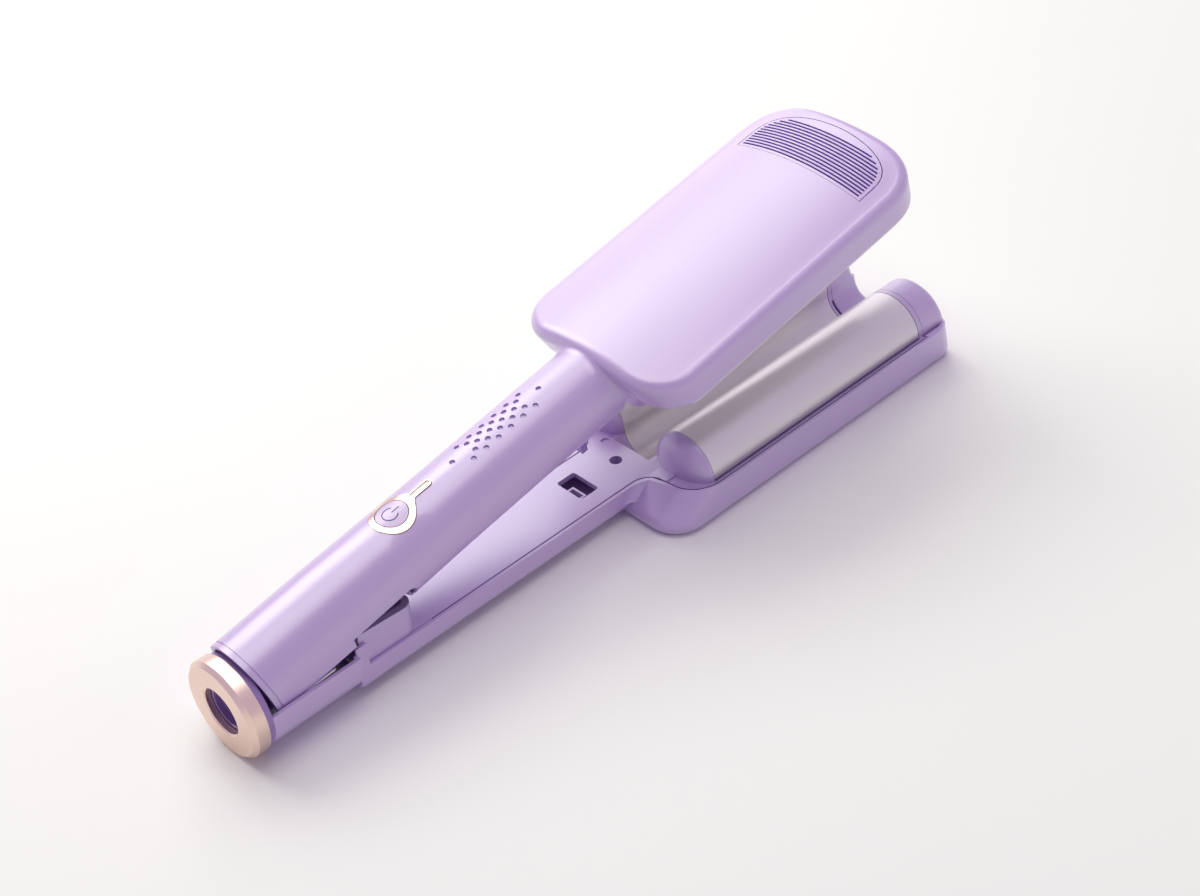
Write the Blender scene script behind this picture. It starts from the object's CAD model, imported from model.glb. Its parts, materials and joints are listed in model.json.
# %% [markdown]
# # A hair waver with two hinged arms
# The tool is two lilac arms on one pin. The lower arm carries a wave of two silver barrels, and
# the upper arm a ridge that presses the hair down between them. The exact pieces are loaded
# first, as a frame. Everything made here is in metres, in that frame: +X runs from the tail to
# the tip, +Y to the left, +Z up.

# %% The frame
import json
import math

import bmesh
import bpy
import numpy as np
from mathutils import Matrix, Vector


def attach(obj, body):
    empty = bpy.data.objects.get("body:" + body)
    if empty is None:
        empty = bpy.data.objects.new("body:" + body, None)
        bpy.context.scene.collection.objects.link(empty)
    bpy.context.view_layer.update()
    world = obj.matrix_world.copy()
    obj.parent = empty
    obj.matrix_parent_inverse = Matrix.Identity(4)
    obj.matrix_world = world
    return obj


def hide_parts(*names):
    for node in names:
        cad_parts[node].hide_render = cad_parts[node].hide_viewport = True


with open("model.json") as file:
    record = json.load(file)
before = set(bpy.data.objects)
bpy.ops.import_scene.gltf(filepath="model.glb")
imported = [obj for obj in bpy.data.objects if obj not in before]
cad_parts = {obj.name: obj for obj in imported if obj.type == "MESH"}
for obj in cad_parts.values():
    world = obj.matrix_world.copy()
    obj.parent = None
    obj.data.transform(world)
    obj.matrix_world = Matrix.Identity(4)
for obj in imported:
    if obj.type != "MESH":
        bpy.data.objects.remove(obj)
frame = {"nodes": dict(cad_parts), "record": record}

MM = 0.001
scene = bpy.context.scene
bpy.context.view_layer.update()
nodes = frame["nodes"]

# %% [markdown]
# ## A place on the open arm
# The upper arm is easiest to draw as if the tool were closed, where its long axis lies along X.
# A turn about the hinge pin then lifts each point to where the open spring holds it. The crown
# of its head is an arc across and straight along, and two numbers say it.

# %% Where things are
HINGE = (50.0, 2.0)          # the pin's place along X and Z, in millimetres
OPEN = math.radians(10.6)    # how far the arms stand open at rest
CROWN, BEND = 30.0, 96.0     # height of the crown's middle when closed, and its radius across


def opened(points):
    """Points of the closed upper arm, in millimetres, lifted about the pin, in metres."""
    p = np.array(points, dtype=float).reshape(-1, 3)
    x, z = p[:, 0] - HINGE[0], p[:, 2] - HINGE[1]
    return np.stack([HINGE[0] + x * math.cos(OPEN) - z * math.sin(OPEN), p[:, 1],
                     HINGE[1] + x * math.sin(OPEN) + z * math.cos(OPEN)], axis=1) * MM


print("tip of the crown:", opened([(305.8, 0, CROWN)]).round(4).tolist())

# %% [markdown]
# ## The camera
# The tool is seen from the tail's end, to its right and from above, through a long lens that
# keeps the arms nearly parallel. The camera is placed by its three axes, which leaves no
# rounding to a target point.

# %% Camera
RIGHT = Vector((0.72290, -0.68618, -0.08100))
DOWN = Vector((-0.47951, -0.41382, -0.77384))
AHEAD = Vector((0.49748, 0.59825, -0.62818))
EYE = Vector((-238.08, -485.89, 515.02)) * MM
FOCAL = 2325.18 / 1200       # focal length, in widths of the frame
view = bpy.data.cameras.new("view")
view.sensor_fit, view.sensor_width = "HORIZONTAL", 36.0
view.lens = FOCAL * 36
view.clip_start, view.clip_end = 0.02, 20
camera = bpy.data.objects.new("camera", view)
camera.matrix_world = Matrix.Translation(EYE) @ \
    Matrix((RIGHT, -DOWN, -AHEAD)).transposed().to_4x4()
scene.collection.objects.link(camera)
scene.camera = camera
print("lens", round(view.lens, 2), "mm")

# %% [markdown]
# ## Studio light
# Two soft boxes behind the tool give the pale streak along the round handle and the broad sheen
# on the crown, and send the shadow to the front right. One overhead makes the handle's shade
# begin softly, a low one behind lights the tip, and a weak one in front opens up the shade. The
# lamps are a little warm against a violet world, so lit faces turn paler and shade turns violet.


# %% Lamps
def soft_box(name, place, target, size, watts, colour=(1.0, 1.0, 0.88)):
    """A square lamp that looks at a point."""
    lamp = bpy.data.lights.new(name, "AREA")
    lamp.shape, lamp.size, lamp.energy = "SQUARE", size, watts
    lamp.color = colour
    box = bpy.data.objects.new(name, lamp)
    box.location = place
    box.rotation_euler = (Vector(target) - Vector(place)).to_track_quat("-Z", "Y").to_euler()
    scene.collection.objects.link(box)
    return box


soft_box("key_light", (0.0, 0.95, 0.85), (0.14, 0, 0), 0.8, 6.6)
soft_box("head_light", (0.54, 0.67, 0.95), (0.22, 0, 0.03), 0.85, 5.0, (0.94, 1.0, 0.86))
soft_box("top_light", (0.10, -0.07, 1.15), (0.12, 0, 0), 0.8, 4.2)
soft_box("back_light", (0.80, 1.0, 0.27), (0.2, 0, 0), 0.7, 1.8)
fill = soft_box("fill_light", (0.55, -0.95, 0.4), (0.16, 0, 0), 0.8, 1.4)
fill.visible_glossy = False

scene.view_settings.view_transform = "Standard"

# %% [markdown]
# ## Shader sums as plain arithmetic
# A material is a tree of nodes. Writing each sum as a node by hand hides what it says, so one
# small class stands for a socket, and adding or multiplying it adds the Math node. Every other
# node is made by one method, which takes its type, its settings and its sockets. The small
# functions after it make what most materials share: noise, a mix of two colours, a bump.


# %% A socket that can be added and multiplied
class Signal:
    """An output socket of the shader tree that is being built."""

    tree = None

    def __init__(self, socket):
        self.socket = socket

    @classmethod
    def make(cls, kind, settings=None, sockets=None, output=0):
        """Adds a node: its type, its settings, then the values or links of its sockets."""
        node = cls.tree.nodes.new(kind if "Node" in kind else "ShaderNode" + kind)
        for name, value in (settings or {}).items():
            setattr(node, name, value)
        for name, value in (sockets or {}).items():
            if isinstance(value, cls):
                cls.tree.links.new(value.socket, node.inputs[name])
            else:
                node.inputs[name].default_value = value
        return cls(node.outputs[output])

    def sibling(self, output):
        """Another output socket of the same node."""
        return Signal(self.socket.node.outputs[output])

    def maths(self, operation, first, second):
        return self.make("Math", {"operation": operation}, {0: first, 1: second})

    def __add__(self, other):
        return self.maths("ADD", self, other)

    def __sub__(self, other):
        return self.maths("SUBTRACT", self, other)

    def __rsub__(self, other):
        return self.maths("SUBTRACT", other, self)

    def __mul__(self, other):
        return self.maths("MULTIPLY", self, other)

    def __truediv__(self, other):
        return self.maths("DIVIDE", self, other)

    def __pow__(self, other):
        return self.maths("POWER", self, other)

    __radd__ = __add__
    __rmul__ = __mul__


def linear(*srgb):
    """A colour as it looks on screen, as the light values that a shader takes."""
    return tuple(c / 12.92 if c <= 0.04045 else ((c + 0.055) / 1.055) ** 2.4 for c in srgb) + (1.0,)


def empty_material(name):
    """A material with nothing in its tree but Object coordinates, and those."""
    material = bpy.data.materials.new(name)
    material.use_nodes = True
    material.node_tree.nodes.clear()
    Signal.tree = material.node_tree
    return material, Signal.make("TexCoord", output="Object")


def make_output(shader, kind="Material"):
    """Shows a shader as the surface of the tree that is being built."""
    node = Signal.tree.nodes.new("ShaderNodeOutput" + kind)
    Signal.tree.links.new(shader.socket, node.inputs["Surface"])


def finish(name, fixed, build):
    """A material: fixed settings of its shader, and a function that gives what varies."""
    material, place = empty_material(name)
    make_output(Signal.make("BsdfPrincipled", {}, {**fixed, **build(place)}))
    return material


def split(vector):
    """The X, Y and Z of a vector."""
    parts = Signal.make("SeparateXYZ", {}, {0: vector})
    return [parts.sibling(i) for i in range(3)]


def grain(place, scale, detail=3.0, stretch=None):
    """Noise from 0 to 1 at so many cells a metre, stretched along an axis if asked."""
    if stretch:
        place = Signal.make("Mapping", {}, {"Vector": place, "Scale": stretch})
    return Signal.make("TexNoise", {}, {"Vector": place, "Scale": scale, "Detail": detail})


def blend(mask, first, second):
    """A colour between two, by a mask from 0 to 1."""
    return Signal.make("Mix", {"data_type": "RGBA"}, {0: mask, 6: first, 7: second}, output=2)


def bump(height, depth):
    """A normal from a height from 0 to 1 that stands for so many metres."""
    return Signal.make("Bump", {}, {"Height": height, "Strength": 1.0, "Distance": depth})


print("linear lilac:", [round(v, 3) for v in linear(0.77, 0.68, 0.86)])

# %% [markdown]
# ## Lilac plastic
# The housings are moulded in one satin lilac plastic. Its mould has a very fine spark texture,
# felt more than seen, which a faint bump with about five grains to the millimetre gives. A slow
# drift between two near lilacs keeps the broad faces from looking painted, and a thin clear coat
# carries the sheen. The violet pieces and the button are the same plastic in other colours.


# %% Lilac plastic
def satin_plastic(light, deep, coat):
    """What varies over a satin plastic that drifts between two colours."""
    def build(place):
        drift = grain(place, 14.0, 2.0)
        fine = grain(place, 5200.0, 2.0)
        return {
            "Base Color": blend(drift, linear(*light), linear(*deep)),
            "Roughness": 0.30 + 0.10 * grain(place, 60.0),
            "Normal": bump(fine, 0.004 * MM),
            "Coat Weight": coat + 0.1 * drift,
        }
    return build


SATIN = {"Coat Roughness": 0.34, "Coat IOR": 2.1, "Specular IOR Level": 0.5}
plain_lilac = satin_plastic((0.755, 0.65, 0.855), (0.735, 0.625, 0.84), 0.85)
lilac = finish("lilac_plastic", SATIN, plain_lilac)
lilac_button = finish("lilac_button", SATIN,
                      satin_plastic((0.80, 0.71, 0.885), (0.78, 0.685, 0.87), 0.4))
violet = finish("violet_plastic", SATIN,
                satin_plastic((0.60, 0.47, 0.74), (0.56, 0.43, 0.70), 0.2))
seam_violet = finish("seam_violet", {},
                     satin_plastic((0.40, 0.29, 0.55), (0.36, 0.26, 0.51), 0.1))
print("plastics:", lilac.name, lilac_button.name, violet.name, seam_violet.name)

# %% [markdown]
# ## The grille's colour
# Between the slats the grille looks deeper and more violet than the crown. The mask is how far a
# point lies below the crown's arc, which is known in the frame of the closed arm.

# %% Grille plastic
DEEPER, DEEPEST = 0.08, 0.28     # millimetres below the crown where the violet starts and is full


def grille_lilac(place):
    """The lilac, deeper below the crown's surface, where the slots are."""
    x, y, z = split(place)
    closed_z = HINGE[1] * MM + (z - HINGE[1] * MM) * math.cos(OPEN) \
        - (x - HINGE[0] * MM) * math.sin(OPEN)
    top = (CROWN - BEND) * MM + ((BEND * MM) ** 2 - y * y) ** 0.5
    depth = Signal.make("Clamp", {}, {
        "Value": (top - closed_z - DEEPER * MM) / ((DEEPEST - DEEPER) * MM)})
    plain = plain_lilac(place)
    return {**plain, "Base Color": blend(depth, plain["Base Color"], linear(0.66, 0.50, 0.90))}


grille_look = finish("grille_lilac", SATIN, grille_lilac)
print("grille:", grille_look.name)

# %% [markdown]
# ## Champagne gold
# The tail ring and the button's trim are aluminium, anodised champagne. The ring was turned, so
# its brush marks run round the X axis: noise that is fine along X and along the radius, and
# long round it. The trim is the same metal, brushed along the handle.


# %% Champagne gold
def turned_gold(place):
    x, y, z = split(place)
    radius = (y * y + z * z) ** 0.5
    ring = Signal.make("CombineXYZ", {}, {"X": x, "Y": radius, "Z": 0.0})
    marks = grain(ring, 3500.0, 4.0)
    cloud = grain(place, 40.0, 2.0)
    return {
        "Base Color": blend(cloud, linear(0.935, 0.84, 0.785), linear(0.905, 0.80, 0.74)),
        "Roughness": 0.24 + 0.12 * marks,
        "Normal": bump(marks, 0.004 * MM),
    }


def brushed_gold(place):
    marks = grain(place, 900.0, 4.0, (0.05, 4.0, 1.0))
    return {
        "Base Color": blend(marks, linear(0.95, 0.85, 0.78), linear(0.92, 0.80, 0.72)),
        "Roughness": 0.18 + 0.1 * marks,
        "Normal": bump(marks, 0.002 * MM),
    }


METAL = {"Metallic": 1.0}
gold_ring = finish("gold_ring", METAL, turned_gold)
gold_trim = finish("gold_trim", METAL, brushed_gold)
print("metals:", gold_ring.name, gold_trim.name)

# %% [markdown]
# ## Silver plates
# The heated plates are coated aluminium, a warm satin grey. The coating is sprayed on a
# surface that was brushed along its length, so the marks are long in X and very faint.


# %% Silver coating
def silver_coat(place):
    marks = grain(place, 2600.0, 4.0, (0.02, 1.0, 1.0))
    cloud = grain(place, 22.0, 3.0)
    return {
        "Base Color": blend(cloud, linear(0.88, 0.86, 0.87), linear(0.85, 0.825, 0.84)),
        "Roughness": 0.30 + 0.10 * marks + 0.05 * cloud,
        "Normal": bump(marks, 0.003 * MM),
    }


silver = finish("silver_coat", {"Metallic": 0.6}, silver_coat)
print("plates:", silver.name)

# %% [markdown]
# ## What is inside
# Pins, springs, boards and mica sheets hardly show, but each still gets the surface that it has:
# ground or drawn steel, mottled mica, green board, black moulding.


# %% Steel, mica, board and black plastic
def ground_steel(place):
    marks = grain(place, 3000.0, 3.0, (0.1, 1.0, 1.0))
    return {
        "Base Color": blend(marks, linear(0.78, 0.77, 0.79), linear(0.66, 0.65, 0.68)),
        "Roughness": 0.22 + 0.15 * marks,
        "Normal": bump(marks, 0.002 * MM),
    }


def mottled(light, deep, size, rough):
    """What varies over a surface with spots, so many to a metre."""
    def build(place):
        spots = grain(place, size, 4.0)
        return {
            "Base Color": blend(spots, linear(*light), linear(*deep)),
            "Roughness": rough + 0.15 * spots,
            "Normal": bump(spots, 0.01 * MM),
        }
    return build


steel = finish("ground_steel", METAL, ground_steel)
inner_looks = {
    "mica": mottled((0.86, 0.83, 0.74), (0.70, 0.66, 0.56), 500.0, 0.5),
    "washer_nylon": mottled((0.92, 0.91, 0.88), (0.86, 0.85, 0.82), 800.0, 0.4),
    "fuse_ceramic": mottled((0.92, 0.90, 0.86), (0.84, 0.81, 0.76), 900.0, 0.5),
    "sensor_bead": mottled((0.78, 0.45, 0.25), (0.62, 0.32, 0.16), 900.0, 0.2),
    "circuit_board": mottled((0.13, 0.42, 0.28), (0.08, 0.32, 0.20), 600.0, 0.3),
    "led_clear": mottled((0.96, 0.95, 0.86), (0.90, 0.89, 0.80), 900.0, 0.1),
    "lead_sleeve": mottled((0.90, 0.89, 0.88), (0.80, 0.79, 0.78), 900.0, 0.5),
    "heater_black": mottled((0.16, 0.15, 0.17), (0.10, 0.09, 0.11), 700.0, 0.5),
    "switch_black": mottled((0.14, 0.13, 0.14), (0.08, 0.08, 0.09), 900.0, 0.35),
    "indicator_lens": mottled((0.98, 0.97, 0.94), (0.95, 0.93, 0.91), 900.0, 0.12),
}
looks = {name: finish(name, {}, build) for name, build in inner_looks.items()}
looks.update(lilac_shell=lilac, lilac_button=lilac_button, violet_plastic=violet,
             rose_gold=gold_ring, silver_plate=silver, spring_steel=steel, screw_steel=steel)
print("finishes:", len(looks))

# %% [markdown]
# ## Dressing the exact pieces
# Each exact piece takes the finish of its slot. Its mesh is loose triangles, so a Weld joins
# their corners and a smoothing by angle keeps the crisp edges and rounds the rest.


# %% Finishes on the frame's pieces
def soften(piece, angle=32):
    """Welds loose triangles and smooths what isn't an edge."""
    weld = piece.modifiers.new("weld", "WELD")
    weld.merge_threshold = 0.002 * MM
    for face in piece.data.polygons:
        face.use_smooth = True
    tree = smoothing_tree()
    smooth = piece.modifiers.new("smooth", "NODES")
    smooth.node_group = tree
    smooth[socket_id(tree, "Angle")] = math.radians(angle)
    normals = piece.modifiers.new("weighted", "WEIGHTED_NORMAL")
    normals.keep_sharp = True
    normals.weight = 60


def socket_id(tree, name):
    """The identifier by which a modifier knows a tree's input."""
    return next(i.identifier for i in tree.interface.items_tree if i.name == name)


def smoothing_tree():
    """A tree that marks edges sharper than an angle, made once."""
    if "smooth_by_angle" in bpy.data.node_groups:
        return bpy.data.node_groups["smooth_by_angle"]
    tree = bpy.data.node_groups.new("smooth_by_angle", "GeometryNodeTree")
    for name, way in (("Geometry", "INPUT"), ("Angle", "INPUT"), ("Geometry", "OUTPUT")):
        kind = "NodeSocketFloat" if name == "Angle" else "NodeSocketGeometry"
        tree.interface.new_socket(name, in_out=way, socket_type=kind)
    start, end = tree.nodes.new("NodeGroupInput"), tree.nodes.new("NodeGroupOutput")
    edge = tree.nodes.new("GeometryNodeInputMeshEdgeAngle")
    sharp = tree.nodes.new("FunctionNodeCompare")
    sharp.data_type, sharp.operation = "FLOAT", "LESS_THAN"
    smooth = tree.nodes.new("GeometryNodeSetShadeSmooth")
    smooth.domain = "EDGE"
    link = tree.links.new
    link(edge.outputs["Unsigned Angle"], sharp.inputs[0])
    link(start.outputs["Angle"], sharp.inputs[1])
    link(start.outputs["Geometry"], smooth.inputs["Geometry"])
    link(sharp.outputs[0], smooth.inputs["Shade Smooth"])
    link(smooth.outputs["Geometry"], end.inputs["Geometry"])
    return tree


slot_of = {s["node"]: s["material_slot"] for s in frame["record"]["subparts"]}
for name, piece in nodes.items():
    piece.data.materials.clear()
    piece.data.materials.append(looks[slot_of[name]])
    soften(piece)
nodes["button_trim"].data.materials[0] = gold_trim
nodes["tip_grille"].data.materials[0] = grille_look
print("dressed:", len(nodes))

# %% [markdown]
# ## Surfaces from rings
# A moulded housing is a stack of closed outlines, one above the other. If every outline has the
# same number of points, neighbours can be joined with four-sided faces, and the whole skin, its
# rim and its inside become one closed mesh without a seam.


# %% A piece, and a skin over rings
def add_piece(name, mesh, look, body, angle=None):
    """Puts a finished mesh in the scene, dressed and riding on its body."""
    mesh.materials.clear()
    mesh.materials.append(look)
    piece = bpy.data.objects.new(name, mesh)
    scene.collection.objects.link(piece)
    if angle:
        soften(piece, angle)
    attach(piece, body)
    print(f"{name}: {len(mesh.polygons)} faces on {body}")
    return piece


def skin(name, rings, fill_ends=False):
    """A closed mesh over rings with equal numbers of points, in metres.

    The first and the last ring either shrink to a line by themselves or are filled.
    """
    count, around = len(rings), len(rings[0])
    work = bmesh.new()
    corners = [[work.verts.new(p) for p in ring] for ring in rings]
    for low, high in zip(corners, corners[1:]):
        for k in range(around):
            after = (k + 1) % around
            work.faces.new((low[k], low[after], high[after], high[k]))
    if fill_ends:
        work.faces.new(corners[0])
        work.faces.new(corners[-1])
    bmesh.ops.remove_doubles(work, verts=work.verts, dist=1e-7)
    bmesh.ops.dissolve_degenerate(work, edges=work.edges, dist=1e-7)
    bmesh.ops.recalc_face_normals(work, faces=work.faces)
    mesh = bpy.data.meshes.new(name)
    work.to_mesh(mesh)
    open_edges = sum(not e.is_manifold for e in work.edges)
    if work.calc_volume(signed=True) < 0:
        mesh.flip_normals()
    work.free()
    print(f"{name}: {count} rings of {around}, open edges {open_edges}")
    return mesh


# %% [markdown]
# ## The crowned head
# The upper arm ends in a broad head: a top that is crowned across and straight along, an edge
# rounded by a ball of 4 mm, and walls that lean in to a thin rim. Its outline has round corners
# at the handle and fuller ones, a superellipse, at the tip. Each ring follows that outline, so
# one rule gives the whole skin. All its sizes are millimetres of the closed arm.

# %% Outline of the head
HEAD_X = (168.0, 306.0)      # ends of the head
HALF = 37.3                  # half its width
EDGE = 4.0                   # ball that rounds the top's edge
WALL = 2.0                   # thickness of the moulding
RIM = 12.1                   # height of the rim
LEAN = 4.6                   # how far the near wall leans in
NEAR_ROUND, RIM_ROUND = 18.5, 14.0           # corners at the handle, of the top and of the rim
FAR_LONG, FAR_WIDE, FULLNESS = 22.5, 23.3, 0.77      # corners at the tip
SPINE = (190, 276)           # ends of the line along the crown's middle


def arc_points(x, y, long, wide, power, start, stop, steps):
    """A quarter of a superellipse about a point, between two angles in degrees."""
    turn = np.radians(np.linspace(start, stop, steps + 1))
    along, across = np.clip(np.cos(turn), 0, 1) ** power, np.clip(np.sin(turn), 0, 1) ** power
    return np.stack([x + long * along, y + wide * across], axis=1)


def straight(start, stop, steps):
    """The points between two others, without those."""
    share = np.linspace(0, 1, steps + 1)[1:-1, None]
    return np.array(start) + (np.array(stop) - np.array(start)) * share


def head_outline(x0, x1, half, near, inset):
    """The head from above, as one ring of points, moved in by inset."""
    near_left = arc_points(x0 + near, half - near, inset - near, near - inset, 1, 0, 90, 14)
    far_left = arc_points(x1 - FAR_LONG, half - FAR_WIDE, FAR_LONG - inset, FAR_WIDE - inset,
                          FULLNESS, 90, 0, 26)
    left = np.concatenate([near_left, straight(near_left[-1], far_left[0], 36), far_left])
    right = left[::-1] * (1, -1)
    return np.concatenate([straight(right[-1], left[0], 18), left, straight(left[-1], right[0], 14),
                           right])


def crown(y, inset=0.0):
    """Height of the crown at a place across, or of its inside."""
    return CROWN - BEND + np.sqrt((BEND - inset) ** 2 - y ** 2)


ball = head_outline(*HEAD_X, HALF, NEAR_ROUND, EDGE)
ahead = np.roll(ball, -1, 0) - np.roll(ball, 1, 0)
outward = np.stack([-ahead[:, 1], ahead[:, 0]], axis=1)
outward /= np.linalg.norm(outward, axis=1)[:, None]
outward *= np.sign((outward * (ball - (sum(HEAD_X) / 2, 0))).sum(1))[:, None]
rim = head_outline(HEAD_X[0] + LEAN, HEAD_X[1] - 0.4, HALF - 0.2, RIM_ROUND, 0)
print("points round the head:", len(ball), "rim", rim.min(0).round(1), rim.max(0).round(1))

# %% [markdown]
# ## Rounding that meets a leaning wall
# Where the wall leans in, the ball's arc has to turn past level before it meets the wall, or
# a crease would show. The point where a straight line from the rim touches the ball's circle
# comes from one equation for each point of the outline.

# %% The head's rings
ball_z = crown(ball[:, 1]) - EDGE
lean_in = ((rim - ball) * outward).sum(1)
reach, drop = np.hypot(lean_in, ball_z - RIM), np.arctan2(ball_z - RIM, lean_in)
touch = np.arccos(EDGE / reach) - drop


def lift(flat, z):
    """Flat points raised to a height, or each to its own."""
    return np.column_stack([flat, np.broadcast_to(z, len(flat))])


def top_rings(inset, count):
    """Rings of the crown, from a line along its middle out to where the rounding starts."""
    middle = np.column_stack([np.clip(ball[:, 0], *SPINE), np.zeros(len(ball))])
    flats = [middle + (ball - middle) * share for share in np.linspace(0, 1, count)]
    return [lift(flat, crown(flat[:, 1], inset)) for flat in flats]


def edge_rings(radius, count):
    """Rings of the rounded edge, from the crown to where the wall starts."""
    rings = []
    for share in np.linspace(0, 1, count)[1:]:
        turn = np.pi / 2 + (touch - np.pi / 2) * share
        rings.append(lift(ball + outward * (radius * np.cos(turn))[:, None],
                          ball_z + radius * np.sin(turn)))
    return rings


outer_edge, inner_edge = edge_rings(EDGE, 10), edge_rings(EDGE - WALL, 6)
wall_top = outer_edge[-1]
rim_high = lift(rim, RIM + 0.6)
walls = [wall_top + (rim_high - wall_top) * share for share in (0.2, 0.4, 0.6, 0.8, 1.0)]
# The lip: inset and height above the rim, round its edge, across it and up to a ledge behind.
LIP = ((0.03, 0.35), (0.13, 0.15), (0.35, 0.03), (0.6, 0), (1.2, 0), (1.25, 2.4), (WALL, 2.4))
lip = [lift(rim - outward * inset, RIM + up) for inset, up in LIP]
inside = [lip[-1] + (inner_edge[-1] - lip[-1]) * share for share in (0.33, 0.66)]
head_rings = top_rings(0, 16) + outer_edge + walls + lip + inside + inner_edge[::-1] \
    + top_rings(WALL, 8)[::-1]
head_mesh = skin("head", [opened(ring) for ring in head_rings])

# %% [markdown]
# ## Cutting with another mesh
# The grille's seat is a D-shaped hole in the crown, and the handle is the exact piece with its
# faceted head cut away. A Boolean modifier does both. Its result is read off as a plain mesh, so
# that nothing live is left on the piece.


# %% Cut one mesh by another
def plain_mesh(host):
    """What an object's modifiers make of it, as a mesh of its own."""
    return bpy.data.meshes.new_from_object(
        host.evaluated_get(bpy.context.evaluated_depsgraph_get()))


def cut(mesh, tool, name):
    """The mesh without what lies inside the tool."""
    body = bpy.data.objects.new("cut_body", mesh)
    cutter = bpy.data.objects.new("cutter", tool)
    for thing in (body, cutter):
        scene.collection.objects.link(thing)
    boolean = body.modifiers.new("cut", "BOOLEAN")
    boolean.operation, boolean.solver, boolean.object = "DIFFERENCE", "EXACT", cutter
    result = plain_mesh(body)
    result.name = name
    for thing in (body, cutter):
        bpy.data.objects.remove(thing)
    print(f"{name}: {len(mesh.polygons)} faces before the cut, {len(result.polygons)} after")
    return result


GRILLE_X = 277.7             # the straight side of the D
GRILLE_LONG, GRILLE_HALF = 22.6, 29.3        # its length from there, and half its width
ROUNDNESS = 0.42             # power of its curve: 1 is an ellipse, 0 a box


def grille_outline(inset, steps=48):
    """The D-shaped grille from above, moved in by inset."""
    turn = np.radians(np.linspace(-90, 90, steps + 1))
    along = np.clip(np.cos(turn), 0, 1) ** ROUNDNESS
    return np.stack([GRILLE_X + inset + (GRILLE_LONG - 2 * inset) * along,
                     (GRILLE_HALF - inset) * np.sin(turn)], axis=1)


def prism(name, flat, low, high):
    """An upright block over a flat outline of the closed arm."""
    return skin(name, [opened(lift(flat, low)), opened(lift(flat, high))], fill_ends=True)


grille_seat = grille_outline(-0.15)
grille_seat[:, 0] = np.maximum(grille_seat[:, 0], GRILLE_X)      # no gap along the straight side
head_mesh = cut(head_mesh, prism("grille_tool", grille_seat, 20, 40), "head")
head = add_piece("crowned_head", head_mesh, lilac, "upper_arm", 30)


def merged_copy(node):
    """A copy of an exact piece whose loose triangles share their corners."""
    work = bmesh.new()
    work.from_mesh(nodes[node].data)
    bmesh.ops.remove_doubles(work, verts=work.verts, dist=2e-6)
    bmesh.ops.dissolve_degenerate(work, edges=work.edges, dist=1e-7)
    mesh = bpy.data.meshes.new(node + "_copy")
    work.to_mesh(mesh)
    work.free()
    return mesh


BLOCK_X = (167.97, 400)      # from just before the head to past its tip
head_block = np.array([(x, y) for x, y in zip((*BLOCK_X, *BLOCK_X[::-1]), (-60, -60, 60, 60))])
head_tool = prism("head_tool", head_block, RIM - 0.02, 60)
handle_mesh = cut(merged_copy("upper_shell"), head_tool, "handle")
add_piece("handle", handle_mesh, lilac, "upper_arm", 32)

# %% [markdown]
# ## Where the handle meets the head
# The two flow together in a hollow fillet, small on top where the crown is close, and wider at
# the sides. It is made as a closed wedge that is swept round the handle, with its hidden side
# sunk into both.

# %% Neck fillet
TUBE, AXIS = 14.5, 13.2      # the handle's radius and the height of its axis, closed
SUNK = 0.7                   # how far the wedge's hidden side reaches into both
near_touch = touch[8]        # where the wall starts in the middle of the head's near side


def near_wall(y, z):
    """Where the head's near wall stands along X, at a height."""
    centre = crown(y) - EDGE
    wall_x = HEAD_X[0] + EDGE - EDGE * np.cos(near_touch)
    wall_z = centre + EDGE * np.sin(near_touch)
    if z > wall_z:
        return HEAD_X[0] + EDGE - np.sqrt(max(EDGE ** 2 - (z - centre) ** 2, 0))
    return wall_x + (HEAD_X[0] + LEAN - wall_x) * (wall_z - z) / (wall_z - RIM)


def neck_section(turn):
    """One section of the wedge, at an angle round the handle."""
    side = np.cos(turn) ** 2                         # 0 on top, 1 at the sides
    back, out = 2.2 + 5.0 * side, 1.0 + 4.2 * side   # reach along the handle and up the wall

    def at(radius, sink=0.0, ahead=0.0):
        y, z = radius * np.cos(turn), AXIS + radius * np.sin(turn)
        return np.array([near_wall(y, z) + ahead, (radius - sink) * np.cos(turn),
                         AXIS + (radius - sink) * np.sin(turn)])

    corner, far = at(TUBE + 0.01), at(TUBE + out)
    start = corner - (back, 0, 0)
    arc = [start * (1 - share) ** 2 + corner * 2 * share * (1 - share) + far * share ** 2
           for share in np.linspace(0, 1, 10)]
    hidden = [far + (SUNK, 0, 0), at(TUBE, SUNK, SUNK), start + at(TUBE, SUNK) - at(TUBE)]
    return arc + hidden


low_turn = -math.asin((AXIS - RIM) / TUBE)
turns = np.linspace(low_turn, math.pi - low_turn, 61)
sections = [opened(neck_section(t)) for t in turns]
add_piece("neck_fillet", skin("neck", sections, fill_ends=True), lilac, "upper_arm",
          40)
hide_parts("upper_shell")

# %% [markdown]
# ## Geometry Nodes for what repeats
# The grille's slats, the vent holes' floors, the spring and the seams follow a count, a pitch or
# a path. Each is a tree with named inputs for its sizes. It runs once, and its result is kept as
# a plain mesh. The same small class that builds shaders builds these trees.


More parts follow.
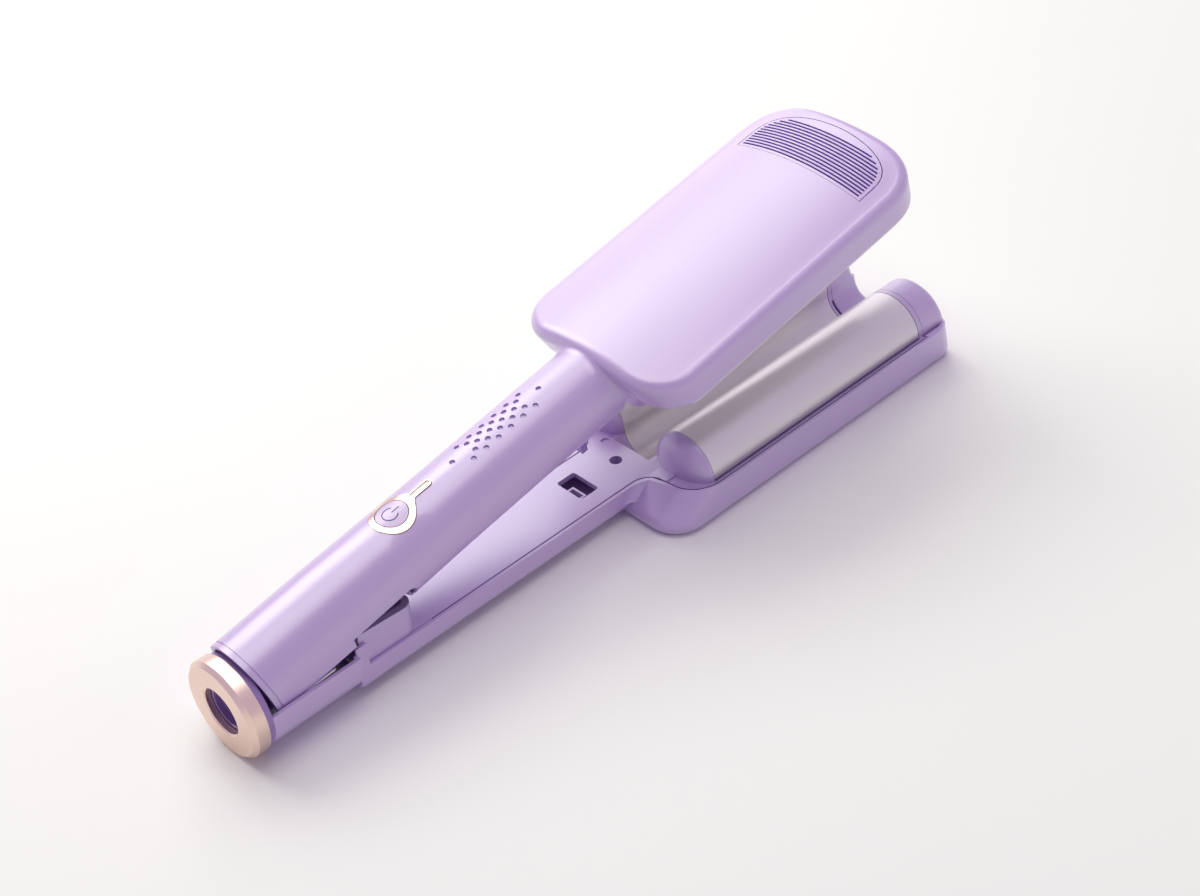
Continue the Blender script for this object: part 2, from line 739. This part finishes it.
# %% A tree, and a piece grown from it
def plant(name, inputs, build):
    """A tree: named inputs with their kinds, and a function that gives its geometry."""
    tree = bpy.data.node_groups.new(name, "GeometryNodeTree")
    inputs = {"Path": "Geometry", **inputs}
    for label, kind in {**inputs, "Material": "Material"}.items():
        tree.interface.new_socket(label, in_out="INPUT", socket_type="NodeSocket" + kind)
    tree.interface.new_socket("Geometry", in_out="OUTPUT", socket_type="NodeSocketGeometry")
    Signal.tree = tree
    start, end = tree.nodes.new("NodeGroupInput"), tree.nodes.new("NodeGroupOutput")
    given = {label: Signal(start.outputs[label]) for label in (*inputs, "Material")}
    shape = build(given)
    real = Signal.make("GeometryNodeRealizeInstances", {}, {"Geometry": shape})
    dressed = Signal.make("GeometryNodeSetMaterial", {}, {"Geometry": real,
                                                          "Material": given["Material"]})
    tree.links.new(dressed.socket, end.inputs["Geometry"])
    print(f"tree {name}: {len(tree.nodes)} nodes, inputs {', '.join(inputs)}")
    return tree


def grow(name, tree, sizes, look, body, angle=None, paths=()):
    """Runs a tree with its sizes set by name, and keeps the result as a plain mesh.

    paths are lines of points in metres, for a tree that follows them.
    """
    wires = bpy.data.meshes.new(name + "_host")
    firsts = np.cumsum([0] + [len(path) for path in paths]).tolist()
    edges = [(first + k, first + k + 1) for first, path in zip(firsts, paths)
             for k in range(len(path) - 1)]
    wires.from_pydata([tuple(p) for path in paths for p in path], edges, [])
    host = bpy.data.objects.new(name + "_host", wires)
    scene.collection.objects.link(host)
    step = host.modifiers.new("tree", "NODES")
    step.node_group = tree
    for label, value in {**sizes, "Material": look}.items():
        step[socket_id(tree, label)] = value
    mesh = plain_mesh(host)
    bpy.data.objects.remove(host)
    return add_piece(name, mesh, look, body, angle)


LIFT = {"Turn": (0.0, -OPEN, 0.0), "Shift": tuple(opened([(0, 0, 0)])[0])}
LIFT_INPUTS = {"Turn": "Vector", "Shift": "Vector"}


def lifted(shape, given):
    """Geometry of the closed arm, turned about the pin to where it stands open."""
    return Signal.make("GeometryNodeTransform", {}, {
        "Geometry": shape, "Translation": given["Shift"], "Rotation": given["Turn"]})


def place_parts():
    """The X, Y and Z of each point of the geometry."""
    return split(Signal.make("GeometryNodeInputPosition"))


def vector(x, y, z):
    return Signal.make("CombineXYZ", {}, {0: x, 1: y, 2: z})


def swept(curve, profile):
    """A profile swept along a curve, with its ends closed."""
    return Signal.make("GeometryNodeCurveToMesh", {}, {
        "Curve": curve, "Profile Curve": profile, "Fill Caps": True})


def round_profile(radius, points=10):
    return Signal.make("GeometryNodeCurvePrimitiveCircle", {}, {
        "Resolution": points, "Radius": radius})


# %% [markdown]
# ## Slats of the grille
# The slats are straight bars from above, as long as the D allows, and bent down over the crown.
# One bar two units long is copied along X, scaled to its own half length, and then each point
# is lowered by the crown's rule.

# %% Slats
SLAT_FLOATS = ("First", "Pitch", "Radius", "Seat", "Reach", "Half", "Crown", "Bend")
SLAT_INPUTS = {"Count": "Int", **dict.fromkeys(SLAT_FLOATS, "Float"), **LIFT_INPUTS}


def slats(given):
    row = Signal.make("GeometryNodeMeshLine", {"mode": "OFFSET"}, {
        "Count": given["Count"], "Start Location": vector(given["First"], 0.0, 0.0),
        "Offset": vector(given["Pitch"], 0.0, 0.0)})
    bar = Signal.make("GeometryNodeCurvePrimitiveLine", {}, {
        "Start": (0, -1, 0), "End": (0, 1, 0)})
    bar = Signal.make("GeometryNodeResampleCurve", {}, {"Curve": bar, "Count": 33})
    bar = swept(bar, round_profile(given["Radius"]))
    index = Signal.make("GeometryNodeInputIndex")
    along = given["First"] + index * given["Pitch"] - given["Seat"]
    cosine = (along / given["Reach"]) ** (1 / ROUNDNESS)
    half = given["Half"] * (1.0 - cosine * cosine) ** 0.5
    bars = Signal.make("GeometryNodeInstanceOnPoints", {}, {
        "Points": row, "Instance": bar, "Scale": vector(1.0, half, 1.0)})
    bars = Signal.make("GeometryNodeRealizeInstances", {}, {"Geometry": bars})
    x, y, z = place_parts()
    drop = (given["Bend"] * given["Bend"] - y * y) ** 0.5 - given["Bend"]
    bent = Signal.make("GeometryNodeSetPosition", {}, {
        "Geometry": bars, "Position": vector(x, y, z + drop + given["Crown"])})
    return lifted(bent, given)


slat_tree = plant("slats", SLAT_INPUTS, slats)
slat_sizes = {"Count": 11, "First": 280.125 * MM, "Pitch": 1.5 * MM, "Radius": 0.31 * MM,
              "Seat": 278.9 * MM, "Reach": 20.2 * MM, "Half": 28.3 * MM,
              "Crown": (CROWN - 0.22) * MM, "Bend": BEND * MM, **LIFT}
grow("grille_slats", slat_tree, slat_sizes, lilac_button, "upper_arm", 50)

# %% [markdown]
# ## Floors of the vent holes
# Each vent hole is a shallow dimple, and a small disc closes it under the skin. The holes are
# laid out flat, as seen from above. The tree drops each place onto a cylinder inside the handle
# and turns its disc square to the surface there.

# %% Vent floors
VENT_FLOATS = ("Radius", "Thickness", "Skin", "Depth", "Axis")
VENT_INPUTS = {**dict.fromkeys(VENT_FLOATS, "Float"), **LIFT_INPUTS}


def vents(given):
    x, y, _ = place_parts()
    across = y / given["Skin"]
    spots = Signal.make("GeometryNodeSetPosition", {}, {
        "Geometry": given["Path"],
        "Position": vector(x, across * given["Depth"],
                           (1.0 - across * across) ** 0.5 * given["Depth"] + given["Axis"])})
    disc = Signal.make("GeometryNodeMeshCylinder", {"fill_type": "TRIANGLE_FAN"}, {
        "Vertices": 20, "Radius": given["Radius"], "Depth": given["Thickness"]})
    _, y, _ = place_parts()
    tilt = Signal.make("Math", {"operation": "ARCSINE"}, {0: y / given["Depth"]})
    discs = Signal.make("GeometryNodeInstanceOnPoints", {}, {
        "Points": spots, "Instance": disc, "Rotation": vector(0.0 - tilt, 0.0, 0.0)})
    return lifted(discs, given)


vent_tree = plant("vents", VENT_INPUTS, vents)
VENT_X, VENT_STEP, ROW_STEP = 128.5, 5.7, 2.2    # middle, and distances along and across
# Each row: its place across, the holes it has room for, and those that it leaves out.
VENT_ROWS = ((-2, 6, ()), (-1, 5, ()), (0, 8, (1, 6)), (1, 5, ()), (2, 6, ()))
vent_spots = [(VENT_X + VENT_STEP * (k - (count - 1) / 2), ROW_STEP * row, 0.0)
              for row, count, bare in VENT_ROWS for k in range(count) if k not in bare]
grow("vent_floors", vent_tree, {"Radius": 1.04 * MM, "Thickness": 0.3 * MM, "Skin": TUBE * MM,
                                "Depth": 13.55 * MM, "Axis": AXIS * MM, **LIFT},
     lilac, "upper_arm", paths=[[np.array(spot) * MM] for spot in vent_spots])

# %% [markdown]
# ## Threads in the seams
# The cover of the lower arm lies inside a thin rim, and the seam between them reads as a fine
# violet line. The plates end in such lines too. Each is a thread swept along its path: straight
# beside the arm, a hollow fillet, the head's round corner, and straight to the tip.

# %% Seams
SEAM_INPUTS = {"Radius": "Float"}


def thread(given):
    curve = Signal.make("GeometryNodeMeshToCurve", {}, {"Mesh": given["Path"]})
    return swept(curve, round_profile(given["Radius"], 8))


seam_tree = plant("thread", SEAM_INPUTS, thread)
HEAD_START, HALF_HEAD, HALF_ARM = 173.7, 40.0, 14.7      # the lower arm's outline
CORNER, FILLET = 12.4, 5.5   # the head's round corner, and the hollow one beside the arm
SEAM_X = (76, 294.5)         # ends of the seam, by the hinge and at the tip
COVER_Z = -4.8               # height of the cover along the arm
RISE = math.tan(math.radians(6.76))      # the rim climbs from there to the head's sides


def circle_points(x, y, radius, start, stop, steps=12):
    """Points of a circle's arc, between two angles in degrees."""
    turn = np.radians(np.linspace(start, stop, steps + 1))
    return np.stack([x + radius * np.cos(turn), y + radius * np.sin(turn)], axis=1)


def seam_path(inset, side, sink=0.2):
    """The line at an inset from the lower arm's outline, on its tilted rim, in metres."""
    flat = np.concatenate([
        [(SEAM_X[0], HALF_ARM - inset)],
        circle_points(HEAD_START - FILLET, HALF_ARM + FILLET, FILLET + inset, -90, 0),
        circle_points(HEAD_START + CORNER, HALF_HEAD - CORNER, CORNER - inset, 180, 90),
        [(SEAM_X[1], HALF_HEAD - inset)]])
    z = COVER_Z - sink + RISE * np.maximum(flat[:, 1] - HALF_ARM, 0)
    return np.column_stack([flat[:, 0], side * flat[:, 1], z]) * MM


grow("cover_seam", seam_tree, {"Radius": 0.36 * MM}, seam_violet, "lower_arm",
     paths=[seam_path(1.47, 1), seam_path(1.47, -1)])
PLATE_X, PLATE_HALF = (185.6, 293.4), 36.45      # ends of the lower plate, and half its width
foot_z = COVER_Z + RISE * (PLATE_HALF - HALF_ARM)
grow("plate_seam", seam_tree, {"Radius": 0.26 * MM}, seam_violet, "lower_arm",
     paths=[np.array([(x, side * PLATE_HALF, foot_z) for x in PLATE_X]) * MM for side in (1, -1)])

EDGE_START = 181             # where the upper plate's edge starts, closed
edge_flat = (rim - outward * 0.8)[rim[:, 0] > EDGE_START]
edge_flat = edge_flat[np.argsort(np.arctan2(edge_flat[:, 1], edge_flat[:, 0] - EDGE_START))]
grow("upper_plate_edge", seam_tree, {"Radius": 0.5 * MM}, silver, "upper_arm",
     paths=[opened(lift(edge_flat, RIM - 0.42))])

# %% [markdown]
# ## The torsion spring
# The spring is one wire: close coils round the pin, a leg forward on the cover, and a leg back
# along the trough's side, where it shows in the gap beside the handle. The coils are a spiral
# of no taper, and the legs are a bent path with rounded bends.

# %% Spring
SPRING_FLOATS = ("Turns", "Coil", "Length", "Wire", "Bend")
SPRING_INPUTS = {**dict.fromkeys(SPRING_FLOATS, "Float"), "Pin": "Vector"}


def spring(given):
    coil = Signal.make("GeometryNodeCurveSpiral", {}, {
        "Resolution": 28, "Rotations": given["Turns"], "Start Radius": given["Coil"],
        "End Radius": given["Coil"], "Height": given["Length"]})
    coil = Signal.make("GeometryNodeTransform", {}, {
        "Geometry": coil, "Rotation": (math.radians(90), math.radians(90), 0.0),
        "Translation": given["Pin"]})
    legs = Signal.make("GeometryNodeMeshToCurve", {}, {"Mesh": given["Path"]})
    legs = Signal.make("GeometryNodeFilletCurve", {"mode": "POLY"}, {
        "Curve": legs, "Radius": given["Bend"], "Count": 6, "Limit Radius": True})
    wire = round_profile(given["Wire"], 12)
    both = Signal.tree.nodes.new("GeometryNodeJoinGeometry")
    for part in (swept(coil, wire), swept(legs, wire)):
        Signal.tree.links.new(part.socket, both.inputs[0])
    return Signal(both.outputs[0])


spring_tree = plant("spring", SPRING_INPUTS, spring)
TURNS, PITCH, COIL = 7, 1.52, 3.25       # turns, distance between them, and their radius
end_y = TURNS / 2 * PITCH                # the coils reach this far to each side
bottom = HINGE[1] - COIL
legs = [[(HINGE[0], end_y, bottom), (HINGE[0] + 2, end_y, bottom),
         (HINGE[0] + 17, end_y, -3.95)],
        [(HINGE[0], -end_y, bottom), (HINGE[0] - 9, -end_y, bottom),
         (HINGE[0] - 15, -14.65, 2.7), (HINGE[0] - 26.5, -14.65, 1.5)]]
spring_piece = grow("wound_spring", spring_tree, {
    "Turns": float(TURNS), "Coil": COIL * MM, "Length": TURNS * PITCH * MM, "Wire": 0.75 * MM,
    "Pin": (HINGE[0] * MM, end_y * MM, HINGE[1] * MM), "Bend": 1.2 * MM},
    steel, "lower_arm", 50, [np.array(leg) * MM for leg in legs])
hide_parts("torsion_spring")

# %% [markdown]
# ## The standby mark
# The button carries the plain standby mark: an open ring and a bar. Both are fine lines laid on
# the button's round top, so each point is lifted to a cylinder about the handle's axis.

# %% Standby mark
MARK_FLOATS = ("Line", "Middle", "Axis", "Round")
MARK_INPUTS = {**dict.fromkeys(MARK_FLOATS, "Float"), **LIFT_INPUTS}


def mark(given):
    curve = Signal.make("GeometryNodeMeshToCurve", {}, {"Mesh": given["Path"]})
    curve = Signal.make("GeometryNodeResampleCurve", {}, {"Curve": curve, "Count": 40})
    lines = swept(curve, round_profile(given["Line"], 8))
    x, y, z = place_parts()
    height = (given["Round"] * given["Round"] - y * y) ** 0.5
    laid = Signal.make("GeometryNodeSetPosition", {}, {
        "Geometry": lines,
        "Position": vector(x + given["Middle"], y, z + height + given["Axis"])})
    return lifted(laid, given)


mark_tree = plant("mark", MARK_INPUTS, mark)
ring = circle_points(-0.6, 0, 2.7, 42, 318, 40)
bar = np.array([(0.2, 0.0), (3.3, 0.0)])
grow("standby_mark", mark_tree, {"Line": 0.2 * MM, "Middle": 81.4 * MM, "Axis": AXIS * MM,
                                 "Round": 14.98 * MM, **LIFT},
     seam_violet, "power_button",
     paths=[lift(ring, 0) * MM, lift(bar, 0) * MM])

# %% [markdown]
# ## The band below the hollow
# Between the lower plate and the tip a lilac band follows the wave. Deep in the hollow it is a
# part of a ring, made as a small box swept round the hollow's axis.

# %% Band in the hollow
BAND_X, BAND_RADIUS = (293.66, 294.86), (9.02, 10.4)     # its ends, and its face and back
BAND_AXIS = -3.0             # height of the hollow's axis


def band_section(turn):
    """The four corners of the band at an angle round the hollow."""
    corners = [(x, BAND_RADIUS[0]) for x in BAND_X] + [(x, BAND_RADIUS[1]) for x in BAND_X[::-1]]
    return np.array([(x, radius * math.cos(turn), BAND_AXIS + radius * math.sin(turn))
                     for x, radius in corners]) * MM


band_turns = np.radians(np.linspace(-158, -22, 41))
add_piece("hollow_band", skin("band", [band_section(t) for t in band_turns], fill_ends=True), lilac,
          "lower_arm", 40)

# %% [markdown]
# ## The catch in the window
# The tongue of the handle drops into the window and stops behind a low bracket on the housing's
# floor: a wall across the arm, with a short cheek at each end. Its edges are pale.

# %% Catch in the window
catch_flat = np.array([(150.0, 0.9), (152.7, 0.9), (152.7, -5.9), (150.0, -5.9), (150.0, -5.2),
                       (152.0, -5.2), (152.0, 0.2), (150.0, 0.2)])
catch_rings = [lift(catch_flat, z) * MM for z in (-12.9, -5.0)]
catch = add_piece("catch_bracket", skin("catch", catch_rings, fill_ends=True), lilac_button,
                  "lower_arm")
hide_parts("latch_catch")

# %% [markdown]
# ## The floor and the world
# The floor is a plain white sheet that keeps the tool's shadow. Far from the tool it fades to a
# sheet that glows as white as the backdrop, so that no horizon shows. The world is white where it
# is seen, and a weaker, slightly violet white where it lights or is mirrored.

# %% Floor
FLOOR = -18 * MM             # the underside of the tail ring lies on it
MIDDLE = 0.16                # the tool's middle along X, in metres
FADE = (0.28, 0.85)          # distances from there between which the floor starts to glow
REACH = 4.0                  # half the floor's width


def white_floor():
    material, place = empty_material("white_floor")
    tone = blend(grain(place, 3.0), linear(0.985, 0.98, 0.985), linear(0.975, 0.97, 0.98))
    shader = Signal.make("BsdfPrincipled", {}, {"Base Color": tone, "Roughness": 0.9,
                                               "Specular IOR Level": 0.1})
    x, y, _ = split(place)
    away = ((x - MIDDLE) * (x - MIDDLE) + y * y) ** 0.5
    far = Signal.make("MapRange", {"interpolation_type": "SMOOTHSTEP"}, {
        "Value": away, "From Min": FADE[0], "From Max": FADE[1]})
    glow = Signal.make("Emission", {}, {"Color": linear(0.99, 0.985, 0.99), "Strength": 1.0})
    make_output(Signal.make("MixShader", {}, {0: far, 1: shader, 2: glow}))
    return material


sheet = bpy.data.meshes.new("floor")
corners = [(-REACH, -REACH), (REACH, -REACH), (REACH, REACH), (-REACH, REACH)]
sheet.from_pydata([(x, y, FLOOR) for x, y in corners], [], [(0, 1, 2, 3)])
floor = bpy.data.objects.new("floor", sheet)
sheet.materials.append(white_floor())
scene.collection.objects.link(floor)
print("floor at", FLOOR)

# %% World
LIT, SEEN, MIRRORED = 0.28, 1.0, 0.76    # strengths where the world lights, is seen, is mirrored
world = bpy.data.worlds.new("studio")
scene.world = world
world.use_nodes = True
Signal.tree = world.node_tree
Signal.tree.nodes.clear()
rays = Signal.make("LightPath", output="Is Camera Ray")
glossy = rays.sibling("Is Glossy Ray")
clear = rays.sibling("Is Transmission Ray")
seen = rays.maths("MAXIMUM", rays, clear)
strength = LIT + (SEEN - LIT) * seen + (MIRRORED - LIT) * glossy
tint = blend(seen, linear(0.93, 0.88, 1.0), linear(1.0, 0.995, 1.0))
make_output(Signal.make("Background", {}, {"Color": tint, "Strength": strength}), "World")
print("world:", world.name)
